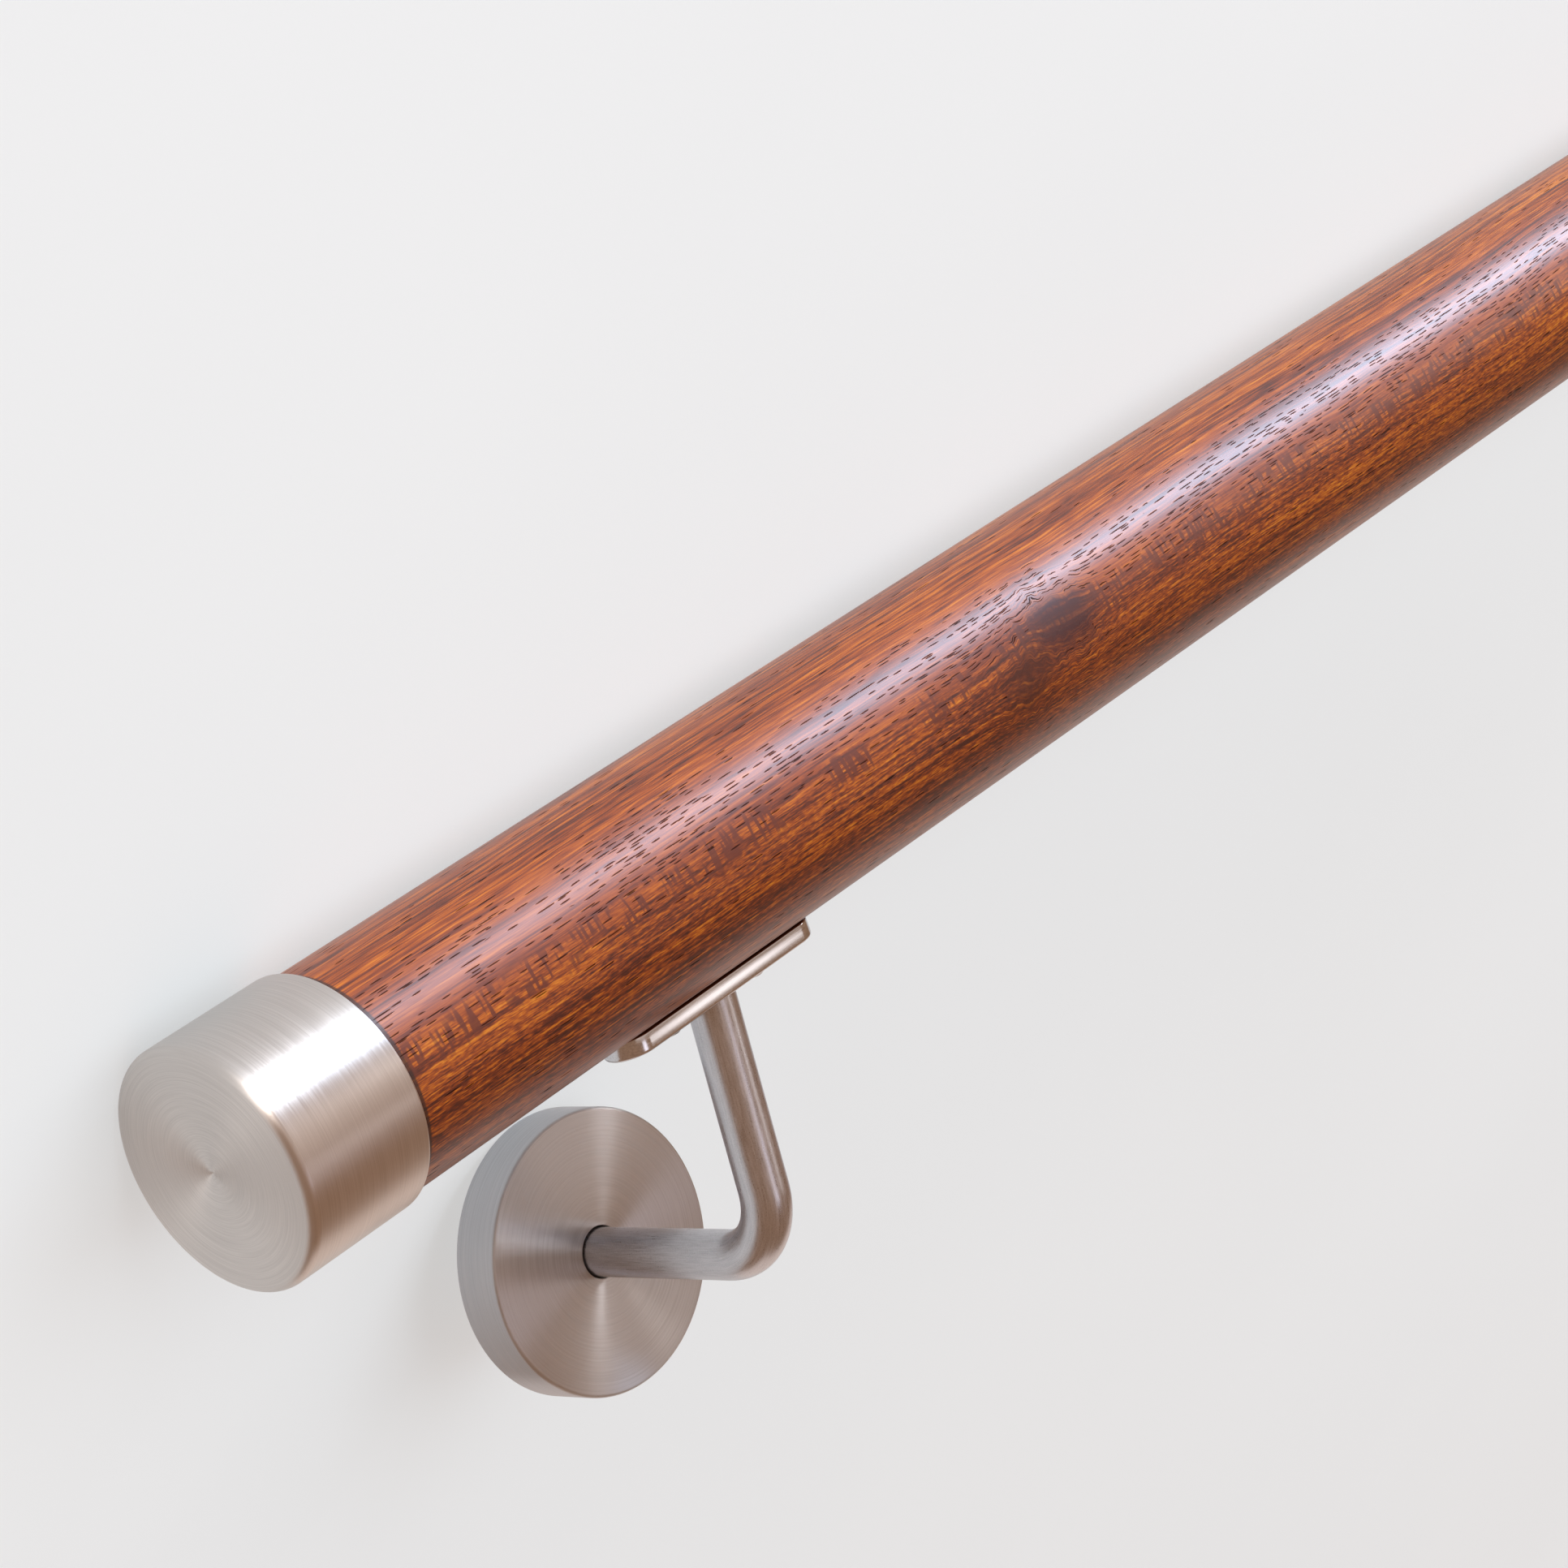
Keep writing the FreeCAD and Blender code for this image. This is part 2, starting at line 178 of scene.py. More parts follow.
def makeGrainSpace(tree):
    place = addNode(tree, "TexCoord")
    local = addNode(tree, "Mapping", {
        "Vector": place.outputs["Object"],
        "Location": railMiddle,
        "Rotation": (layTurn, 0, 0),
        "Scale": (mm, mm, mm),
    }, vector_type="TEXTURE")
    axes = addNode(tree, "SeparateXYZ", {"Vector": local})
    along = axes.outputs["X"]
    turn = addNode(tree, "Math", {0: axes.outputs["Z"], 1: axes.outputs["Y"]}, operation="ARCTAN2")
    arc = addNode(tree, "Math", {0: turn, 1: wood["radius"]}, operation="MULTIPLY")

    # The grain wanders a little from the bar's line
    wanderLength, wanderReach = wood["wander"]
    slow = addNode(tree, "Math", {0: along, 1: wanderLength}, operation="DIVIDE")
    wander = addNode(tree, "TexNoise", {"W": slow, "Scale": 1.0, "Detail": 2.0}, noise_dimensions="1D")
    arc = addNode(tree, "Math", {0: wander, 1: wanderReach, 2: arc}, operation="MULTIPLY_ADD")
    arc = addNode(tree, "Math", {0: arc, 1: -wanderReach / 2}, operation="ADD")

    # Each knot has a ragged outline and pushes the grain aside
    look = wood["knotLook"]
    reach = look["raggedReach"]
    ragged = addNode(tree, "TexNoise", {"Vector": local, "Scale": look["raggedScale"], "Detail": 2.0})
    flat = addNode(tree, "CombineXYZ", {"X": along, "Y": arc})
    hearts = []
    for knot in wood["knots"]:
        away = addNode(tree, "VectorMath", {0: flat, 1: (*knot["place"], 0)}, operation="SUBTRACT")
        units = addNode(tree, "VectorMath", {0: away, 1: (*knot["size"], 1)}, operation="DIVIDE")
        rough = addNode(tree, "VectorMath", {
            0: ragged.outputs["Color"], 1: (reach, reach, 0), 2: units,
        }, operation="MULTIPLY_ADD")
        rough = addNode(tree, "VectorMath", {0: rough, 1: (-reach / 2, -reach / 2, 0)}, operation="ADD")
        squared = addNode(tree, "VectorMath", {0: rough, 1: rough}, operation="DOT_PRODUCT")
        fade = addNode(tree, "Math", {0: squared.outputs["Value"], 1: -1.0}, operation="MULTIPLY")
        heart = addNode(tree, "Math", {0: fade}, operation="EXPONENT")
        hearts.append(heart)
        offset = addNode(tree, "SeparateXYZ", {"Vector": away})
        push = addNode(tree, "Math", {0: offset.outputs["Y"], 1: heart}, operation="MULTIPLY")
        arc = addNode(tree, "Math", {0: push, 1: -knot["push"], 2: arc}, operation="MULTIPLY_ADD")

    # Bent round the bar again, so that no seam shows
    grainTurn = addNode(tree, "Math", {0: arc, 1: wood["radius"]}, operation="DIVIDE")
    grainOut = addNode(tree, "Math", {0: grainTurn}, operation="COSINE")
    grainUp = addNode(tree, "Math", {0: grainTurn}, operation="SINE")
    unitAlong = addNode(tree, "Math", {0: along, 1: wood["radius"]}, operation="DIVIDE")
    spot = addNode(tree, "CombineXYZ", {"X": unitAlong, "Y": grainOut, "Z": grainUp})
    return {"along": along, "arc": arc, "turn": grainTurn, "spot": spot, "hearts": hearts}


def grainNoise(tree, grain, size, octaves):
    length, width = (wood["radius"] / value for value in size)
    spot = addNode(tree, "VectorMath", {0: grain["spot"], 1: (length, width, width)}, operation="MULTIPLY")
    return addNode(tree, "TexNoise", {
        "Vector": spot, "Scale": 1.0, "Detail": octaves, "Roughness": detailShare,
    })


def nearTurn(tree, grain, part):
    # One where the bar faces this part's turn or the opposite one, falling to nought
    near, far = part["zone"]
    away = addNode(tree, "Math", {0: grain["turn"], 1: part["turn"]}, operation="SUBTRACT")
    swing = addNode(tree, "Math", {0: away}, operation="COSINE")
    both = addNode(tree, "Math", {0: swing}, operation="ABSOLUTE")
    return addNode(tree, "MapRange", {
        "Value": both, "From Min": math.cos(far), "From Max": math.cos(near),
    }, interpolation_type="SMOOTHSTEP")


def addFigure(tree, grain):
    # Layers of the figure add up to one tone
    tone = wood["middleTone"]
    layers = {}
    for name, layer in wood["figure"].items():
        layers[name] = grainNoise(tree, grain, layer["size"], layer["octaves"])
        # A layer's darker value darkens its zone: painted shade
        middle = noiseMiddle + layer.get("darker", 0)
        level = addNode(tree, "Math", {0: layers[name], 1: middle}, operation="SUBTRACT")
        if "turn" in layer:
            zone = nearTurn(tree, grain, layer)
            level = addNode(tree, "Math", {0: level, 1: zone}, operation="MULTIPLY")
        tone = addNode(tree, "Math", {0: level, 1: layer["weight"], 2: tone}, operation="MULTIPLY_ADD")
    # Painted shade: where the gloss falls, on the upper front of the bar and the opposite side, the figure
    # is drawn plainer and a little darker
    shadeUnderGloss = wood["shadeUnderGloss"]
    zone = nearTurn(tree, grain, shadeUnderGloss)
    fading = addNode(tree, "Math", {0: zone, 1: shadeUnderGloss["share"]}, operation="MULTIPLY")
    tone = addNode(tree, "Mix", {
        "Factor": fading, "A": tone, "B": wood["middleTone"] - shadeUnderGloss["darker"] / shadeUnderGloss["share"],
    }, data_type="FLOAT")
    colour = addNode(tree, "ValToRGB", {"Fac": tone}, stops=wood["tones"])
    return colour, layers


def addRays(tree, grain, colour):
    # Ray flecks: runs of short bars across the grain
    rays = wood["rays"]
    bars = addNode(tree, "MapRange", {
        "Value": grainNoise(tree, grain, rays["size"], 0.0),
        "From Min": rays["edge"][0], "From Max": rays["edge"][1],
    }, interpolation_type="SMOOTHSTEP")
    runs = addNode(tree, "MapRange", {
        "Value": grainNoise(tree, grain, rays["runSize"], 1.0),
        "From Min": rays["runEdge"][0], "From Max": rays["runEdge"][1],
    }, interpolation_type="SMOOTHSTEP")
    zone = nearTurn(tree, grain, rays)
    share = addNode(tree, "Math", {0: bars, 1: runs}, operation="MULTIPLY")
    level = addNode(tree, "Math", {0: share, 1: zone}, operation="MULTIPLY")
    level = addNode(tree, "Math", {0: level, 1: rays["depth"]}, operation="MULTIPLY")
    return addNode(tree, "Mix", {
        "Factor": level, "A": colour, "B": toLinear(rays["colour"]),
    }, data_type="RGBA")


def addKnots(tree, grain, streaks, colour):
    # Knots are streaked by the grain that swirls round them
    look = wood["knotLook"]
    swirl = addNode(tree, "MapRange", {
        "Value": streaks, "From Min": look["streakSpan"][0], "From Max": look["streakSpan"][1],
        "To Min": look["streaked"][0], "To Max": look["streaked"][1],
    })
    for knot, heart in zip(wood["knots"], grain["hearts"]):
        level = addNode(tree, "MapRange", {
            "Value": heart, "From Min": look["edge"][0], "From Max": look["edge"][1],
            "To Max": knot["depth"],
        }, interpolation_type="SMOOTHSTEP")
        level = addNode(tree, "Math", {0: level, 1: swirl}, operation="MULTIPLY")
        colour = addNode(tree, "Mix", {
            "Factor": level, "A": colour, "B": toLinear(knot["colour"]),
        }, data_type="RGBA")
    return colour


def addPores(tree, grain, colour):
    # Each pore is a dash round the point of a long cell, some shorter than others
    pores = wood["pores"]
    cellLength, cellWidth = pores["cell"]
    halfLength, halfWidth = pores["half"]
    cells = addNode(tree, "CombineXYZ", {
        "X": addNode(tree, "Math", {0: grain["along"], 1: cellLength}, operation="DIVIDE"),
        "Y": addNode(tree, "Math", {0: grain["arc"], 1: cellWidth}, operation="DIVIDE"),
    })
    nearest = addNode(tree, "TexVoronoi", {"Vector": cells, "Scale": 1.0}, voronoi_dimensions="2D")
    chance = addNode(tree, "SeparateColor", {"Color": nearest.outputs["Color"]})
    shorter = addNode(tree, "MapRange", {
        "Value": chance.outputs["Green"],
        "To Min": pores["lengths"][0] * cellLength / halfLength,
        "To Max": pores["lengths"][1] * cellLength / halfLength,
    })
    squeeze = addNode(tree, "CombineXYZ", {"X": shorter, "Y": cellWidth / halfWidth})
    apart = addNode(tree, "VectorMath", {0: cells, 1: nearest.outputs["Position"]}, operation="SUBTRACT")
    apart = addNode(tree, "VectorMath", {0: apart, 1: squeeze}, operation="MULTIPLY")
    reach = addNode(tree, "VectorMath", {0: apart}, operation="LENGTH")
    dash = addNode(tree, "MapRange", {
        "Value": reach.outputs["Value"], "From Min": pores["edge"][0], "From Max": pores["edge"][1],
    }, interpolation_type="SMOOTHSTEP")

    # They lie thickest where the cut runs along the growth rings, and none in a knot's core
    crowd = addNode(tree, "MapRange", {
        "Value": grainNoise(tree, grain, pores["crowdSize"], 1.0),
        "From Min": pores["crowdSpan"][0], "From Max": pores["crowdSpan"][1],
        "To Min": pores["crowding"][0], "To Max": pores["crowding"][1],
    })
    share = addNode(tree, "MapRange", {
        "Value": nearTurn(tree, grain, pores), "To Min": pores["shares"][0], "To Max": pores["shares"][1],
    })
    share = addNode(tree, "Math", {0: share, 1: crowd}, operation="MULTIPLY")
    coreEdge, coreFull = wood["knotLook"]["core"]
    for heart in grain["hearts"]:
        core = addNode(tree, "MapRange", {"Value": heart, "From Min": coreEdge, "From Max": coreFull})
        share = addNode(tree, "Math", {0: share, 1: core}, operation="SUBTRACT")
    kept = addNode(tree, "Math", {0: share, 1: chance.outputs["Red"]}, operation="GREATER_THAN")
    pore = addNode(tree, "Math", {0: dash, 1: kept}, operation="MULTIPLY")
    level = addNode(tree, "Math", {0: pore, 1: pores["depth"]}, operation="MULTIPLY")
    colour = addNode(tree, "Mix", {
        "Factor": level, "A": colour, "B": toLinear(pores["colour"]),
    }, data_type="RGBA")
    return colour, pore


def addJointShade(tree, grain, colour):
    # Painted shade: a thin dark line on the wood against each cap, where the cap's mouth shades the joint
    jointShade = wood["jointShade"]
    start = jointShade["edge"] - jointShade["width"]
    fromMiddle = addNode(tree, "Math", {0: grain["along"]}, operation="ABSOLUTE")
    level = addNode(tree, "MapRange", {
        "Value": fromMiddle, "From Min": start, "From Max": start + jointShade["soft"],
        "To Max": jointShade["depth"],
    }, interpolation_type="SMOOTHSTEP")
    return addNode(tree, "Mix", {
        "Factor": level, "A": colour, "B": toLinear(jointShade["colour"]),
    }, data_type="RGBA")


def makeHardwood():
    material, tree, shader = startMaterial(wood["name"])
    grain = makeGrainSpace(tree)
    colour, layers = addFigure(tree, grain)
    colour = addRays(tree, grain, colour)
    colour = addKnots(tree, grain, layers["streaks"], colour)
    colour, pore = addPores(tree, grain, colour)
    colour = addJointShade(tree, grain, colour)

    # Pores dip, bare of varnish, and fibres ripple under it
    ripple = addNode(tree, "Math", {0: layers["fibres"], 1: wood["ripple"]}, operation="MULTIPLY")
    relief = addNode(tree, "Math", {0: ripple, 1: pore}, operation="SUBTRACT")
    bump = addNode(tree, "Bump", {
        "Height": relief, "Strength": wood["relief"], "Distance": reliefDepth,
    })
    film = addNode(tree, "MapRange", {"Value": pore, "To Min": wood["coatWeight"], "To Max": 0.0})
    shader.inputs["Roughness"].default_value = wood["roughness"]
    shader.inputs["Specular IOR Level"].default_value = wood["underSpecular"]
    shader.inputs["Coat IOR"].default_value = wood["coatIor"]
    shader.inputs["Coat Roughness"].default_value = wood["coatRoughness"]
    tree.links.new(colour.outputs[2], shader.inputs["Base Color"])
    tree.links.new(film.outputs[0], shader.inputs["Coat Weight"])
    tree.links.new(bump.outputs["Normal"], shader.inputs["Normal"])
    tree.links.new(bump.outputs["Normal"], shader.inputs["Coat Normal"])
    return material


# Stainless steel, turned: lines run round the piece, so light spreads across them in a bright wedge.
turnedSteel = {
    "cap": {
        "name": "stainless steel brushed round",
        "tones": [(0.3, "#D0CDCA"), (0.7, "#E1DEDB")],
        "lineSize": 0.34,  # finer on the real cap, drawn wide enough to show
        "roughness": (0.36, 0.44),
        "anisotropy": 0.72,
        "relief": 0.12,
        "centre": railMiddle,
        "axisTurn": Matrix.Rotation(layTurn, 3, "X"),
        "repeat": 4.0,  # metres, longer than the rail, so nothing repeats
    },
    "rosette": {
        "name": "stainless steel face turned",
        "tones": [(0.3, "#C7CBD0"), (0.7, "#DBDFE4")],
        "lineSize": 0.5,  # finer on the real rosette, too
        "roughness": (0.34, 0.42),
        "anisotropy": 0.95,
        "relief": 0.12,
        "centre": wallFaces["lower"],
        "axisTurn": Matrix.Rotation(layTurn, 3, "X") @ Matrix.Rotation(math.pi / 2, 3, "Z"),
        "repeat": wallFaces["lower"].x - wallFaces["upper"].x,
    },
}
quarterTurn = 0.25  # sets the gloss across the lines


def makeTurnedSteel(look):
    material, tree, shader = startMaterial(look["name"])
    place = addNode(tree, "TexCoord")
    # Both brackets share one pattern, repeated along the rail
    world = addNode(tree, "SeparateXYZ", {"Vector": place.outputs["Object"]})
    nearest = look["centre"].x
    wrapped = addNode(tree, "Math", {
        0: world.outputs["X"], 1: nearest + look["repeat"] / 2, 2: nearest - look["repeat"] / 2,
    }, operation="WRAP")
    repeated = addNode(tree, "CombineXYZ", {
        "X": wrapped, "Y": world.outputs["Y"], "Z": world.outputs["Z"],
    })
    local = addNode(tree, "Mapping", {
        "Vector": repeated,
        "Location": look["centre"],
        "Rotation": look["axisTurn"].to_euler(),
        "Scale": (mm, mm, mm),
    }, vector_type="TEXTURE")
    axes = addNode(tree, "SeparateXYZ", {"Vector": local})
    side = addNode(tree, "CombineXYZ", {"Y": axes.outputs["Y"], "Z": axes.outputs["Z"]})
    reach = addNode(tree, "VectorMath", {0: side}, operation="LENGTH")
    across = addNode(tree, "Math", {0: axes.outputs["X"], 1: reach.outputs["Value"]}, operation="ADD")
    line = addNode(tree, "Math", {0: across, 1: look["lineSize"]}, operation="DIVIDE")
    heading = addNode(tree, "VectorMath", {0: side}, operation="NORMALIZE")
    headingAxes = addNode(tree, "SeparateXYZ", {"Vector": heading})
    groove = addNode(tree, "CombineXYZ", {
        "X": line, "Y": headingAxes.outputs["Y"], "Z": headingAxes.outputs["Z"],
    })
    lines = addNode(tree, "TexNoise", {
        "Vector": groove, "Scale": 1.0, "Detail": 3.0, "Roughness": detailShare,
    })
    colour = addNode(tree, "ValToRGB", {"Fac": lines}, stops=look["tones"])
    rough = addNode(tree, "MapRange", {
        "Value": lines, "From Min": noiseSpan[0], "From Max": noiseSpan[1],
        "To Min": look["roughness"][0], "To Max": look["roughness"][1],
    })
    bump = addNode(tree, "Bump", {
        "Height": lines, "Strength": look["relief"], "Distance": reliefDepth,
    })
    # Direction of the lines, turned back from the piece's own axes
    aroundY = addNode(tree, "Math", {0: axes.outputs["Z"], 1: -1.0}, operation="MULTIPLY")
    around = addNode(tree, "CombineXYZ", {"Y": aroundY, "Z": axes.outputs["Y"]})
    tangent = addNode(tree, "VectorRotate", {
        "Vector": around, "Rotation": look["axisTurn"].to_euler(),
    }, rotation_type="EULER_XYZ")
    shader.inputs["Metallic"].default_value = 1.0
    shader.inputs["Anisotropic"].default_value = look["anisotropy"]
    shader.inputs["Anisotropic Rotation"].default_value = quarterTurn
    tree.links.new(colour.outputs["Color"], shader.inputs["Base Color"])
    tree.links.new(rough.outputs[0], shader.inputs["Roughness"])
    tree.links.new(bump.outputs["Normal"], shader.inputs["Normal"])
    tree.links.new(tangent.outputs[0], shader.inputs["Tangent"])
    return material


# Stainless rod, ground satin: a soft grain along the rod with a matt speckle.
rodSteel = {
    "name": "stainless steel satin ground",
    "tones": [(0.3, "#BFC1C6"), (0.7, "#D8DADF")],
    "grainSize": (0.35, 6.0),  # mm across and along, drawn wide enough to show
    "speckleSize": 0.3,
    "speckleShare": 0.5,
    "roughness": (0.27, 0.37),
    "relief": 0.1,
}


def makeRodSteel():
    material, tree, shader = startMaterial(rodSteel["name"])
    straight = addNode(tree, "Attribute", attribute_name="straight", attribute_type="GEOMETRY")
    across, length = rodSteel["grainSize"]
    spot = addNode(tree, "VectorMath", {
        0: straight.outputs["Vector"], 1: (1 / length, 1 / across, 1 / across),
    }, operation="MULTIPLY")
    lines = addNode(tree, "TexNoise", {
        "Vector": spot, "Scale": 1.0, "Detail": 3.0, "Roughness": detailShare,
    })
    speckle = addNode(tree, "TexNoise", {
        "Vector": straight.outputs["Vector"], "Scale": 1 / rodSteel["speckleSize"], "Detail": 1.0,
    })
    share = rodSteel["speckleShare"]
    mixed = addNode(tree, "Math", {
        0: speckle, 1: share, 2: -share * noiseMiddle,
    }, operation="MULTIPLY_ADD")
    level = addNode(tree, "Math", {0: lines, 1: mixed}, operation="ADD")
    colour = addNode(tree, "ValToRGB", {"Fac": level}, stops=rodSteel["tones"])
    rough = addNode(tree, "MapRange", {
        "Value": level, "From Min": noiseSpan[0], "From Max": noiseSpan[1],
        "To Min": rodSteel["roughness"][0], "To Max": rodSteel["roughness"][1],
    })
    bump = addNode(tree, "Bump", {
        "Height": level, "Strength": rodSteel["relief"], "Distance": reliefDepth,
    })
    shader.inputs["Metallic"].default_value = 1.0
    tree.links.new(colour.outputs["Color"], shader.inputs["Base Color"])
    tree.links.new(rough.outputs[0], shader.inputs["Roughness"])
    tree.links.new(bump.outputs["Normal"], shader.inputs["Normal"])
    return material


# Flat steel: polished along its length on the saddle, left as rolled on the flange, plain on a screw.
# Grain sizes are millimetres along and across, drawn wide enough to show.
flatSteel = {
    "saddle": {
        "name": "stainless steel polished lengthwise",
        "tones": [(0.35, "#CCCED2"), (0.7, "#E0E3E8")],
        "grainSize": (14.0, 0.5),
        "roughness": (0.16, 0.22),
        "relief": 0.02,
    },
    "flange": {
        "name": "stainless steel cold rolled",
        "tones": [(0.3, "#8F8985"), (0.7, "#AFA9A4")],
        "grainSize": (5.0, 0.8),
        "roughness": (0.36, 0.5),
        "relief": 0.08,
    },
    "screw": {
        "name": "stainless steel cold headed",
        "tones": [(0.3, "#A09A95"), (0.7, "#C2BCB7")],
        "grainSize": (0.8, 0.8),
        "roughness": (0.2, 0.34),
        "relief": 0.08,
    },
}


def makeFlatSteel(look):
    material, tree, shader = startMaterial(look["name"])
    place = addNode(tree, "TexCoord")
    along, across = look["grainSize"]
    spot = addNode(tree, "VectorMath", {
        0: place.outputs["Object"], 1: (1 / along / mm, 1 / across / mm, 1 / across / mm),
    }, operation="MULTIPLY")
    grain = addNode(tree, "TexNoise", {
        "Vector": spot, "Scale": 1.0, "Detail": 3.0, "Roughness": detailShare,
    })
    colour = addNode(tree, "ValToRGB", {"Fac": grain}, stops=look["tones"])
    rough = addNode(tree, "MapRange", {
        "Value": grain, "From Min": noiseSpan[0], "From Max": noiseSpan[1],
        "To Min": look["roughness"][0], "To Max": look["roughness"][1],
    })
    bump = addNode(tree, "Bump", {
        "Height": grain, "Strength": look["relief"], "Distance": reliefDepth,
    })
    shader.inputs["Metallic"].default_value = 1.0
    tree.links.new(colour.outputs["Color"], shader.inputs["Base Color"])
    tree.links.new(rough.outputs[0], shader.inputs["Roughness"])
    tree.links.new(bump.outputs["Normal"], shader.inputs["Normal"])
    return material


hardwood = makeHardwood()
capSteel = makeTurnedSteel(turnedSteel["cap"])
rosetteSteel = makeTurnedSteel(turnedSteel["rosette"])
satinSteel = makeRodSteel()
saddleSteel = makeFlatSteel(flatSteel["saddle"])
flangeSteel = makeFlatSteel(flatSteel["flange"])
screwSteel = makeFlatSteel(flatSteel["screw"])
print("materials done")

# Values that the meshes share, in millimetres
weldDistance = 0.001
cutDistance = 0.0001
edgeTolerance = 0.01
sharpAngle = math.radians(35)


def finishPiece(bm, name, material, node):
    bmesh.ops.remove_doubles(bm, verts=bm.verts, dist=weldDistance)
    bmesh.ops.recalc_face_normals(bm, faces=bm.faces)
    bmesh.ops.transform(bm, matrix=lay, verts=bm.verts)
    for face in bm.faces:
        face.smooth = True
    for edge in bm.edges:
        edge.smooth = edge.calc_face_angle(0) < sharpAngle
    mesh = bpy.data.meshes.new(name)
    bm.to_mesh(mesh)
    bm.free()
    mesh.materials.append(material)
    piece = bpy.data.objects.new(name, mesh)
    scene.collection.objects.link(piece)
    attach(piece, "root")
    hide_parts(node)
    return piece


def turnProfile(profile, steps):
    # A profile of (along, radius) points, turned about X: closed, or from the axis back to the axis
    bm = bmesh.new()
    points = [bm.verts.new((along, radius, 0)) for along, radius in profile]
    nextPoints = points[1:] if profile[0][1] == 0 else points[1:] + points[:1]
    edges = [bm.edges.new(pair) for pair in zip(points, nextPoints)]
    bmesh.ops.spin(bm, geom=points + edges, cent=(0, 0, 0), axis=(1, 0, 0),
                   angle=2 * math.pi, steps=steps, use_merge=True)
    bmesh.ops.remove_doubles(bm, verts=bm.verts, dist=weldDistance)
    return bm


def bevelRing(bm, along, radius, size, segments):
    def onRing(vert):
        offAxis = math.hypot(vert.co.y, vert.co.z)
        return abs(vert.co.x - along) < edgeTolerance and abs(offAxis - radius) < edgeTolerance

    ring = [edge for edge in bm.edges if all(onRing(vert) for vert in edge.verts)]
    bmesh.ops.bevel(bm, geom=ring, offset=size, offset_type="OFFSET", affect="EDGES",
                    segments=segments, profile=0.5, material=-1)


# The bar: a plain round, bevelled at its hidden ends
bar = {"length": 1000.0, "radius": wood["radius"], "bevel": 1.0, "steps": 192}
halfBar = bar["length"] / 2


def makeBar():
    shoulder = halfBar - bar["bevel"]
    inner = bar["radius"] - bar["bevel"]
    bm = turnProfile([
        (-halfBar, 0), (-halfBar, inner), (-shoulder, bar["radius"]),
        (shoulder, bar["radius"]), (halfBar, inner), (halfBar, 0),
    ], bar["steps"])
    finishPiece(bm, "wooden_bar", hardwood, "handrail")


makeBar()
print("bar done")

# The caps: turned cups with a rounded front edge and the lathe's centre mark
cap = {
    "length": 35.0, "floor": 2.0, "bore": 27.1, "radius": 28.5, "edgeRound": 2.4, "edgeSteps": 10,
    "mouthRound": 0.9, "mouthSteps": 5, "boreBreak": 0.4, "boreSteps": 2,
    "markRadius": 0.8, "markFloor": 0.24, "markDepth": 0.35, "steps": 192,
}


def makeCap(place, side):
    front = halfBar + cap["floor"]
    mouth = front - cap["length"]
    bm = turnProfile([
        (halfBar, 0), (halfBar, cap["bore"]), (mouth, cap["bore"]), (mouth, cap["radius"]),
        (front, cap["radius"]), (front, cap["markRadius"]),
        (front - cap["markDepth"], cap["markFloor"]), (front - cap["markDepth"], 0),
    ], cap["steps"])
    bevelRing(bm, front, cap["radius"], cap["edgeRound"], cap["edgeSteps"])
    bevelRing(bm, mouth, cap["radius"], cap["mouthRound"], cap["mouthSteps"])
    bevelRing(bm, mouth, cap["bore"], cap["boreBreak"], cap["boreSteps"])
    if side < 0:
        bmesh.ops.scale(bm, vec=(-1, 1, 1), verts=bm.verts)
    piece = finishPiece(bm, "cap_" + place, capSteel, "end_cap_" + place)
    piece.visible_diffuse = False  # casts no bright patch on the floor
    return piece


makeCap("lower", 1)
farCap = makeCap("upper", -1)
print("caps done")

# The cover rosettes: shallow turned cups with a bore for the rod
cover = {
    "height": 13.0, "wall": 1.5, "radius": 35.0, "bore": 6.4, "edgeRound": 0.9, "edgeSteps": 5,
    "boreBreak": 0.3, "boreSteps": 2, "steps": 192,
}


def makeCover(place):
    inner = cover["radius"] - cover["wall"]
    roof = cover["height"] - cover["wall"]
    bm = turnProfile([
        (0, inner), (0, cover["radius"]), (cover["height"], cover["radius"]),
        (cover["height"], cover["bore"]), (roof, cover["bore"]), (roof, inner),
    ], cover["steps"])
    bevelRing(bm, cover["height"], cover["radius"], cover["edgeRound"], cover["edgeSteps"])
    bevelRing(bm, cover["height"], cover["bore"], cover["boreBreak"], cover["boreSteps"])
    bmesh.ops.rotate(bm, cent=(0, 0, 0), matrix=Matrix.Rotation(math.pi / 2, 3, "Z"), verts=bm.verts)
    bmesh.ops.translate(bm, verts=bm.verts, vec=(
        rosetteAlong[place], -fitted["wallDistance"], -fitted["rosetteDrop"],
    ))
    finishPiece(bm, "cover_" + place, rosetteSteel, "cover_rosette_" + place)


for place in wallFaces:
    makeCover(place)
print("covers done")

# The rods: straight out of the flange, round a bend and up to the saddle
rod = {"radius": 6.0, "bend": 17.0, "flange": 5.0, "sides": 48, "bendSteps": 20, "runStep": 4.0}


def rodStations(reach, height):
    # Turns and places along the rod's line, from the flange to past the saddle
    stations = []
    firstRun = reach - rod["bend"]
    for step in range(math.ceil(firstRun / rod["runStep"]) + 1):
        out = min(step * rod["runStep"], firstRun)
        stations.append((0.0, out, 0.0, out))
    for step in range(1, rod["bendSteps"] + 1):
        angle = math.pi / 2 * step / rod["bendSteps"]
        stations.append((
            angle, firstRun + rod["bend"] * math.sin(angle), rod["bend"] * (1 - math.cos(angle)),
            firstRun + rod["bend"] * angle,
        ))
    secondRun = height - rod["bend"]
    bendEnd = stations[-1][3]
    for step in range(1, math.ceil(secondRun / rod["runStep"]) + 1):
        up = min(step * rod["runStep"], secondRun)
        stations.append((math.pi / 2, reach, rod["bend"] + up, bendEnd + up))
    return stations


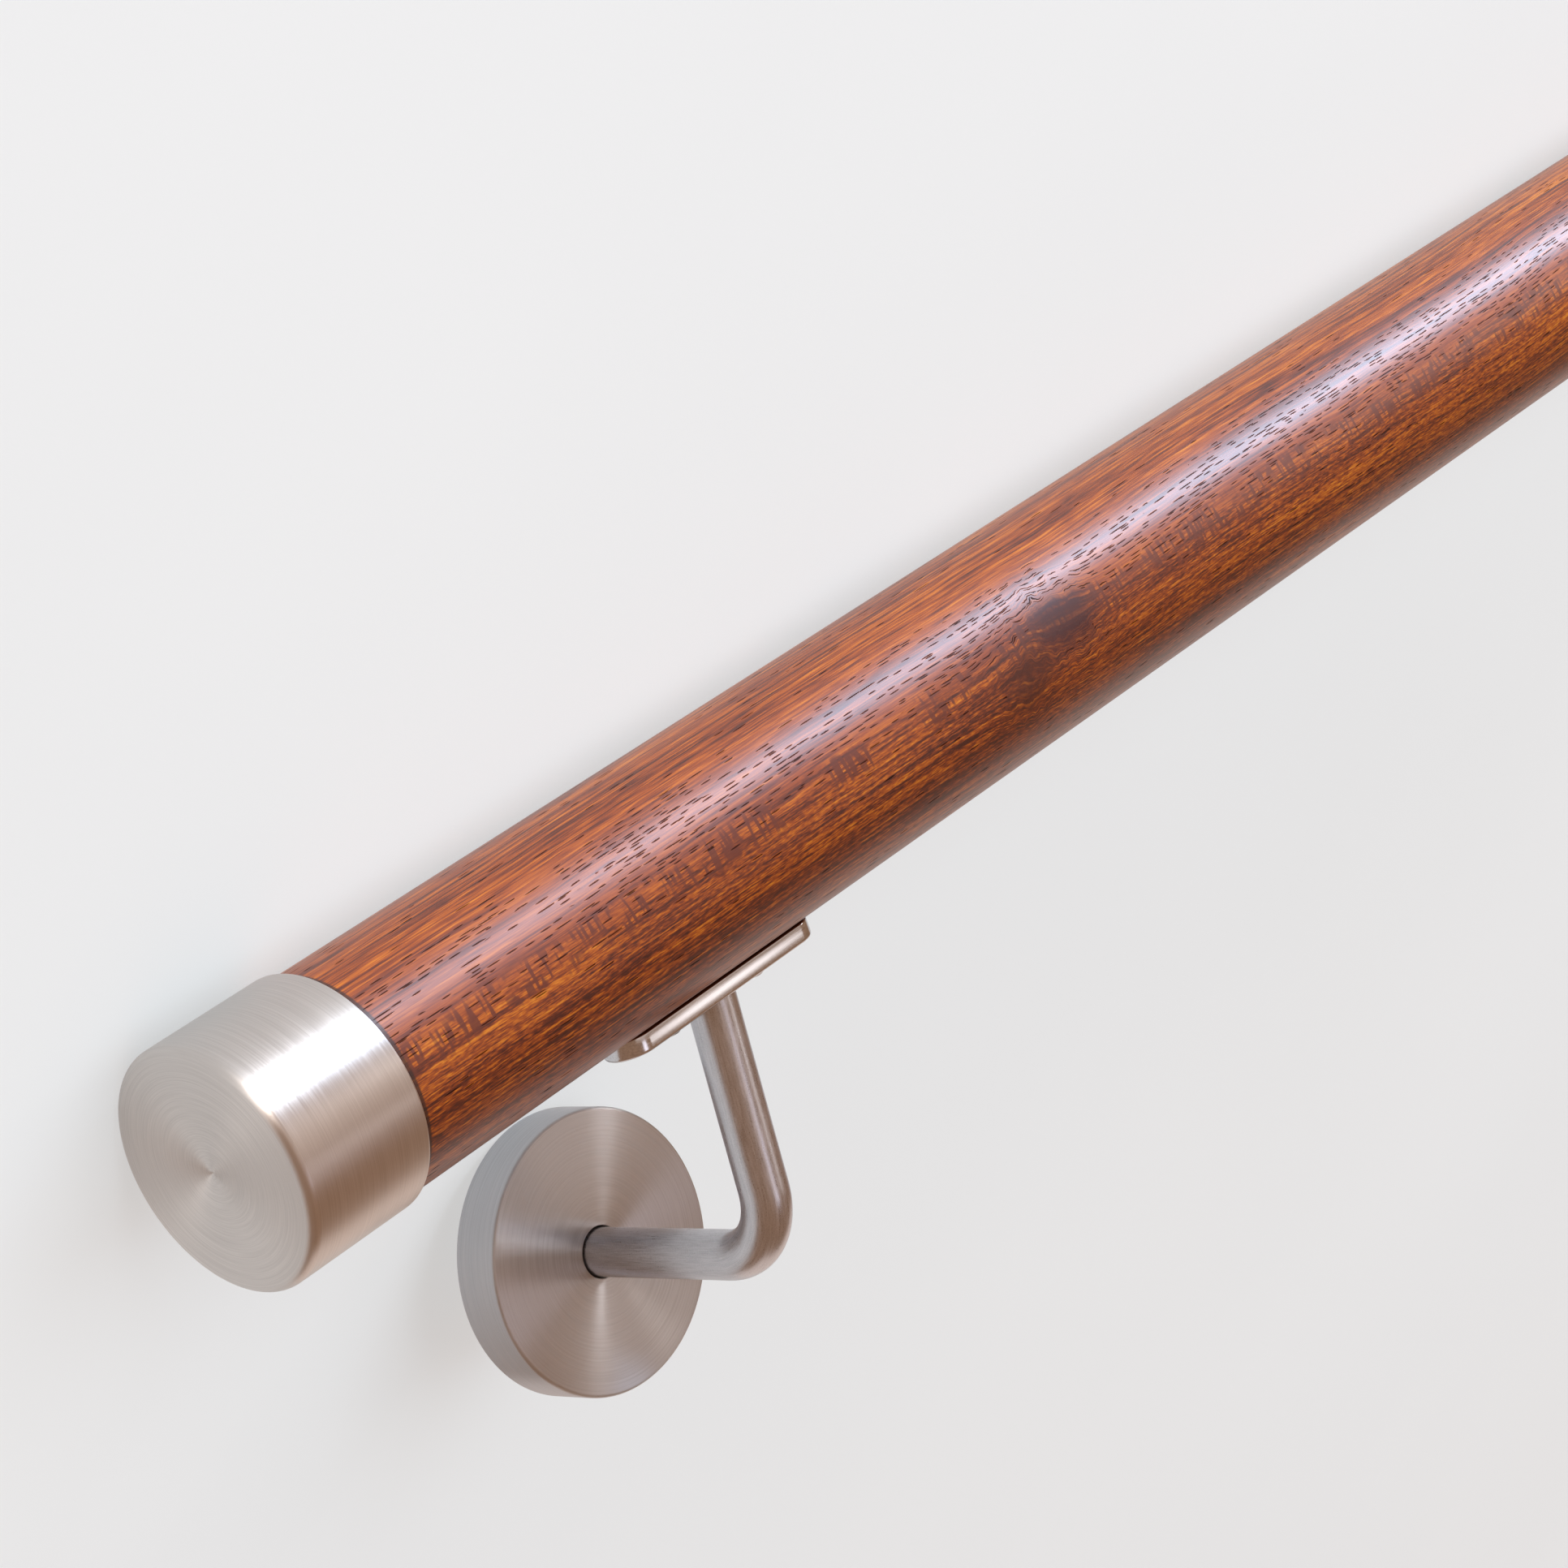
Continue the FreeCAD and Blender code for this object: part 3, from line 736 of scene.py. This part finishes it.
def makeRod(place):
    bm = bmesh.new()
    straight = bm.verts.layers.float_vector.new("straight")  # mm along and across, as if unbent
    reach = fitted["wallDistance"] - rod["flange"]
    rise = fitted["rosetteDrop"] + fitted["saddleUnderside"]
    height = rise / math.cos(fitted["postLean"]) + rod["radius"]
    made = bmesh.ops.create_circle(bm, cap_ends=False, segments=rod["sides"], radius=rod["radius"])
    # The circle faces along Y
    bmesh.ops.rotate(bm, cent=(0, 0, 0), matrix=Matrix.Rotation(-math.pi / 2, 3, "X"), verts=bm.verts)
    ring = list(bm.edges)
    for vert in made["verts"]:
        vert[straight] = (0, vert.co.x, vert.co.z)
    at = Matrix.Identity(4)
    for angle, out, up, length in rodStations(reach, height):
        if length > 0:
            grown = bmesh.ops.extrude_edge_only(bm, edges=ring)["geom"]
            ring = [item for item in grown if isinstance(item, bmesh.types.BMEdge)]
            verts = [item for item in grown if isinstance(item, bmesh.types.BMVert)]
            to = Matrix.Translation((0, out, up)) @ Matrix.Rotation(angle, 4, "X")
            bmesh.ops.transform(bm, matrix=to @ at.inverted(), verts=verts)
            for vert in verts:
                vert[straight].x = length
            at = to
    bmesh.ops.holes_fill(bm, edges=bm.edges)
    lean = Matrix.Rotation(-fitted["postLean"], 3, "Y")
    bmesh.ops.rotate(bm, cent=(0, 0, 0), matrix=lean, verts=bm.verts)
    bmesh.ops.translate(bm, verts=bm.verts, vec=(
        rosetteAlong[place], rod["flange"] - fitted["wallDistance"], -fitted["rosetteDrop"],
    ))
    # Cut level with the saddle's underside
    whole = [*bm.verts, *bm.edges, *bm.faces]
    cut = bmesh.ops.bisect_plane(bm, geom=whole, dist=cutDistance, clear_outer=True,
                                 plane_co=(0, 0, fitted["saddleUnderside"]), plane_no=(0, 0, 1))
    rim = [item for item in cut["geom_cut"] if isinstance(item, bmesh.types.BMEdge)]
    bmesh.ops.holes_fill(bm, edges=rim)
    finishPiece(bm, "rod_" + place, satinSteel, "bracket_arm_" + place)


for place in wallFaces:
    makeRod(place)
print("rods done")

# The saddles: flat bars with round ends, eased above and below
saddle = {
    "length": 68.0, "width": 14.0, "thickness": 4.5, "topRound": 0.3, "underRound": 0.9,
    "roundSteps": 4, "flatMargin": 0.4, "steps": 96,
}


def makeSaddle(place):
    bm = bmesh.new()
    bmesh.ops.create_circle(bm, cap_ends=True, segments=saddle["steps"], radius=saddle["width"] / 2)
    halfStep = Matrix.Rotation(math.pi / saddle["steps"], 3, "Z")
    bmesh.ops.rotate(bm, cent=(0, 0, 0), matrix=halfStep, verts=bm.verts)
    stretch = (saddle["length"] - saddle["width"]) / 2
    for side in (1, -1):
        end = [vert for vert in bm.verts if vert.co.x * side > 0]
        bmesh.ops.translate(bm, verts=end, vec=(stretch * side, 0, 0))
    grown = bmesh.ops.extrude_face_region(bm, geom=list(bm.faces))["geom"]
    top = [item for item in grown if isinstance(item, bmesh.types.BMVert)]
    bmesh.ops.translate(bm, verts=top, vec=(0, 0, saddle["thickness"]))
    for level, size in ((saddle["thickness"], saddle["topRound"]), (0, saddle["underRound"])):
        rim = [
            edge for edge in bm.edges
            if all(abs(vert.co.z - level) < edgeTolerance for vert in edge.verts)
        ]
        bmesh.ops.bevel(bm, geom=rim, offset=size, offset_type="OFFSET", affect="EDGES",
                        segments=saddle["roundSteps"], profile=0.5, material=-1)
    # A narrow margin keeps the shading of the flats level
    flats = [face for face in bm.faces if len(face.verts) == saddle["steps"]]
    for flat in flats:
        bmesh.ops.inset_region(bm, faces=[flat], thickness=saddle["flatMargin"], use_even_offset=True)
    bmesh.ops.translate(bm, verts=bm.verts, vec=(saddleAlong[place], 0, fitted["saddleUnderside"]))
    finishPiece(bm, "saddle_" + place, saddleSteel, "saddle_plate_" + place)


for place in saddleAlong:
    makeSaddle(place)
print("saddles done")

# The screws: raised heads with a cross recess, driven up through the saddles
screw = {
    "length": 25.0, "tip": 5.0, "radius": 2.0, "headRadius": 4.0, "headRise": 2.2,
    "crownRadius": 2.0, "crownRound": 0.5, "crownSteps": 4, "spread": 15.0,
    "recessReach": 1.2, "recessWidth": 0.6, "recessDepth": 0.9, "steps": 48,
}


def crownFaces(bm):
    def onCrown(vert):
        return abs(vert.co.x + screw["headRise"]) < weldDistance

    return [face for face in bm.faces if all(onCrown(vert) for vert in face.verts)]


def sinkRecess(bm):
    # The crown is cut along the cross, and the cross is then sunk into it
    bmesh.ops.dissolve_faces(bm, faces=crownFaces(bm))
    halfWidth = screw["recessWidth"] / 2
    for normal in (Vector((0, 1, 0)), Vector((0, 0, 1))):
        for distance in (-screw["recessReach"], -halfWidth, halfWidth, screw["recessReach"]):
            faces = crownFaces(bm)
            edges = {edge for face in faces for edge in face.edges}
            verts = {vert for face in faces for vert in face.verts}
            bmesh.ops.bisect_plane(bm, geom=[*faces, *edges, *verts], dist=cutDistance,
                                   plane_co=normal * distance, plane_no=normal)
    cross = []
    for face in crownFaces(bm):
        middle = face.calc_center_median()
        narrow, wide = sorted((abs(middle.y), abs(middle.z)))
        if narrow < halfWidth and wide < screw["recessReach"]:
            cross.append(face)
    sunk = bmesh.ops.extrude_face_region(bm, geom=cross)["geom"]
    bottom = [item for item in sunk if isinstance(item, bmesh.types.BMVert)]
    bmesh.ops.translate(bm, verts=bottom, vec=(screw["recessDepth"], 0, 0))


def makeScrew(place, number, side):
    rise = screw["headRise"]
    neck = screw["headRadius"] - screw["radius"]
    bm = turnProfile([
        (-rise, 0), (-rise, screw["crownRadius"]), (0, screw["headRadius"]), (neck, screw["radius"]),
        (screw["length"] - screw["tip"], screw["radius"]), (screw["length"], 0),
    ], screw["steps"])
    bevelRing(bm, -rise, screw["crownRadius"], screw["crownRound"], screw["crownSteps"])
    sinkRecess(bm)
    bmesh.ops.rotate(bm, cent=(0, 0, 0), matrix=Matrix.Rotation(-math.pi / 2, 3, "Y"), verts=bm.verts)
    bmesh.ops.translate(bm, verts=bm.verts, vec=(
        saddleAlong[place] + side * screw["spread"], 0, fitted["saddleUnderside"],
    ))
    name = place + "_" + number
    finishPiece(bm, "screw_" + name, screwSteel, "saddle_screw_" + name)


for place in saddleAlong:
    makeScrew(place, "1", 1)
    makeScrew(place, "2", -1)
print("screws done")

# The flanges stay as built, under the covers
for place in wallFaces:
    flange = frame["nodes"]["wall_flange_" + place]
    flange.data.materials.clear()
    flange.data.materials.append(flangeSteel)
print("flanges done")

# Camera: the photograph's view, from beyond the lower cap
camera = {
    "place": (975.5, 695.7, 257.3),  # mm from the rail's middle, as fitted
    "forward": (-0.6662, -0.6999, -0.2575),
    "down": (0.4160, -0.0590, -0.9074),
    "lens": 97.86,
    "sensor": 36.0,
    "clip": (0.02, 30.0),
}


def makeCamera():
    data = bpy.data.cameras.new("camera")
    data.lens = camera["lens"]
    data.sensor_width = camera["sensor"]
    data.clip_start, data.clip_end = camera["clip"]
    viewer = bpy.data.objects.new("camera", data)
    scene.collection.objects.link(viewer)
    turn = lay.to_3x3()
    back = -(turn @ Vector(camera["forward"])).normalized()
    up = -(turn @ Vector(camera["down"])).normalized()
    right = up.cross(back).normalized()
    up = back.cross(right)
    viewer.matrix_world = (
        Matrix.Translation(lay @ Vector(camera["place"])) @ Matrix((right, up, back)).transposed().to_4x4()
    )
    scene.camera = viewer


makeCamera()
print("camera done")

# Floor: matt white paint, rolled on, with a faint unevenness. Seen directly or in a gloss it is lifted
# towards white, while its light on the object stays that of paint.
floorLook = {
    "name": "matt paint rolled",
    "size": 40.0,
    "tones": [(0.3, "#E9E8E8"), (0.7, "#EFEEEE")],
    "patchScale": 3.0,  # patches to a metre
    "roughness": 0.9,
    "specular": 0.1,
    "white": "#F8FBFC",
    "lift": 0.55,
    "glossLift": 0.43,
    "fade": (0.9, 2.0),  # metres from the middle over which it turns plain white
}


def makeFloorPaint():
    material, tree, shader = startMaterial(floorLook["name"])
    place = addNode(tree, "TexCoord")
    noise = addNode(tree, "TexNoise", {
        "Vector": place.outputs["Object"], "Scale": floorLook["patchScale"], "Detail": 3.0,
    })
    colour = addNode(tree, "ValToRGB", {"Fac": noise}, stops=floorLook["tones"])
    shader.inputs["Roughness"].default_value = floorLook["roughness"]
    shader.inputs["Specular IOR Level"].default_value = floorLook["specular"]
    tree.links.new(colour.outputs["Color"], shader.inputs["Base Color"])
    path = addNode(tree, "LightPath")
    gloss = addNode(tree, "Math", {
        0: path.outputs["Is Glossy Ray"], 1: path.outputs["Is Transmission Ray"],
    }, operation="MAXIMUM")
    gloss = addNode(tree, "Math", {0: gloss, 1: floorLook["glossLift"]}, operation="MULTIPLY")
    reach = addNode(tree, "VectorMath", {0: place.outputs["Object"]}, operation="LENGTH")
    fadeStart, fadeEnd = floorLook["fade"]
    lift = addNode(tree, "MapRange", {
        "Value": reach.outputs["Value"], "From Min": fadeStart, "From Max": fadeEnd,
        "To Min": floorLook["lift"], "To Max": 1.0,
    }, interpolation_type="SMOOTHSTEP")
    share = addNode(tree, "Math", {
        0: path.outputs["Is Camera Ray"], 1: lift, 2: gloss,
    }, operation="MULTIPLY_ADD")
    white = addNode(tree, "Emission", {"Color": toLinear(floorLook["white"]), "Strength": 1.0})
    lifted = addNode(tree, "MixShader", {0: share, 1: shader, 2: white})
    tree.links.new(lifted.outputs[0], tree.nodes["Material Output"].inputs["Surface"])
    return material


def makeFloor():
    mesh = bpy.data.meshes.new("floor")
    bm = bmesh.new()
    bmesh.ops.create_grid(bm, x_segments=1, y_segments=1, size=floorLook["size"] / 2)
    bm.to_mesh(mesh)
    bm.free()
    mesh.materials.append(makeFloorPaint())
    floor = bpy.data.objects.new("floor", mesh)
    scene.collection.objects.link(floor)
    return floor


floor = makeFloor()
print("floor done")

# Light: a dim warm surround with soft pale panels overhead, in front and behind, and a cool low one
# whose reflection is the gloss along the rail
surround = {"colour": "#F0BA96", "strength": 0.36}
panels = {
    "ceiling panel": {
        "place": (-0.6, -1.75, 1.7), "aim": (-0.6, -1.75, 0.0), "size": (3.6, 2.0),
        "colour": "#FFF8F4", "power": 8.2,
    },
    "front panel": {
        "place": (0.7, -2.4, 0.3), "aim": (0.0, 0.0, 0.1), "size": (3.4, 0.6),
        "colour": "#FFF6F0", "power": 64.0,
    },
    "back panel": {
        "place": (-1.2, 2.3, 0.8), "aim": (-1.2, 0.0, 0.6), "size": (4.6, 1.6),
        "colour": "#FFF6F2", "power": 13.0,
    },
    "low panel": {
        "place": (-3.36, -3.24, 0.18), "aim": (0.0, 0.0, 0.1), "size": (2.2, 0.34),
        "colour": "#C8E2FF", "power": 210.0,
    },
    "floor panel": {
        "place": (-0.2, -1.8, 2.2), "aim": (0.0, 0.0, 0.0), "size": (3.0, 2.4),
        "colour": "#CFEEFF", "power": 58.0,
    },
    # Three small lamps, seen as wedges on the near rosette, in the polish of its saddle and down its post
    "rosette lamp": {
        "place": (-1.53, -0.8, 0.79), "aim": (0.35, 0.05, 0.03), "size": (0.25, 0.25),
        "colour": "#FFFAF8", "power": 2.2,
    },
    "saddle lamp": {
        "place": (-0.99, -0.35, 1.65), "aim": (-0.99, -0.35, 0.0), "size": (0.5, 0.3),
        "colour": "#FFFAF8", "power": 0.9,
    },
    "post lamp": {
        "place": (0.235, -0.35, 1.65), "aim": (0.235, -0.35, 0.0), "size": (0.4, 0.5),
        "colour": "#F4F2FF", "power": 0.9,
    },
}


def makeSurround():
    world = bpy.data.worlds.new("warm surround")
    scene.world = world
    world.use_nodes = True
    backdrop = world.node_tree.nodes["Background"]
    backdrop.inputs["Color"].default_value = toLinear(surround["colour"])
    backdrop.inputs["Strength"].default_value = surround["strength"]


def makePanel(name, panel):
    data = bpy.data.lights.new(name, "AREA")
    data.shape = "RECTANGLE"
    data.size, data.size_y = panel["size"]
    data.color = toLinear(panel["colour"])[:3]
    data.energy = panel["power"]
    lamp = bpy.data.objects.new(name, data)
    lamp.visible_camera = False
    scene.collection.objects.link(lamp)
    turn = (Vector(panel["aim"]) - Vector(panel["place"])).to_track_quat("-Z", "Y")
    lamp.matrix_world = Matrix.Translation(panel["place"]) @ turn.to_matrix().to_4x4()
    return lamp


def makeLight():
    makeSurround()
    lamps = {name: makePanel(name, panel) for name, panel in panels.items()}
    # The low panel passes the far cap by, whose face would catch it full on
    spared = bpy.data.collections.new("spared")
    spared.objects.link(farCap)
    spared.collection_objects[0].light_linking.link_state = "EXCLUDE"
    lamps["low panel"].light_linking.receiver_collection = spared
    # The floor panel lights the floor alone, so that soft shadows show on it, and goes no further
    ground = bpy.data.collections.new("ground")
    ground.objects.link(floor)
    lamps["floor panel"].light_linking.receiver_collection = ground
    lamps["floor panel"].data.cycles.max_bounces = 0


makeLight()
scene.view_settings.view_transform = "Standard"
print("stage done")
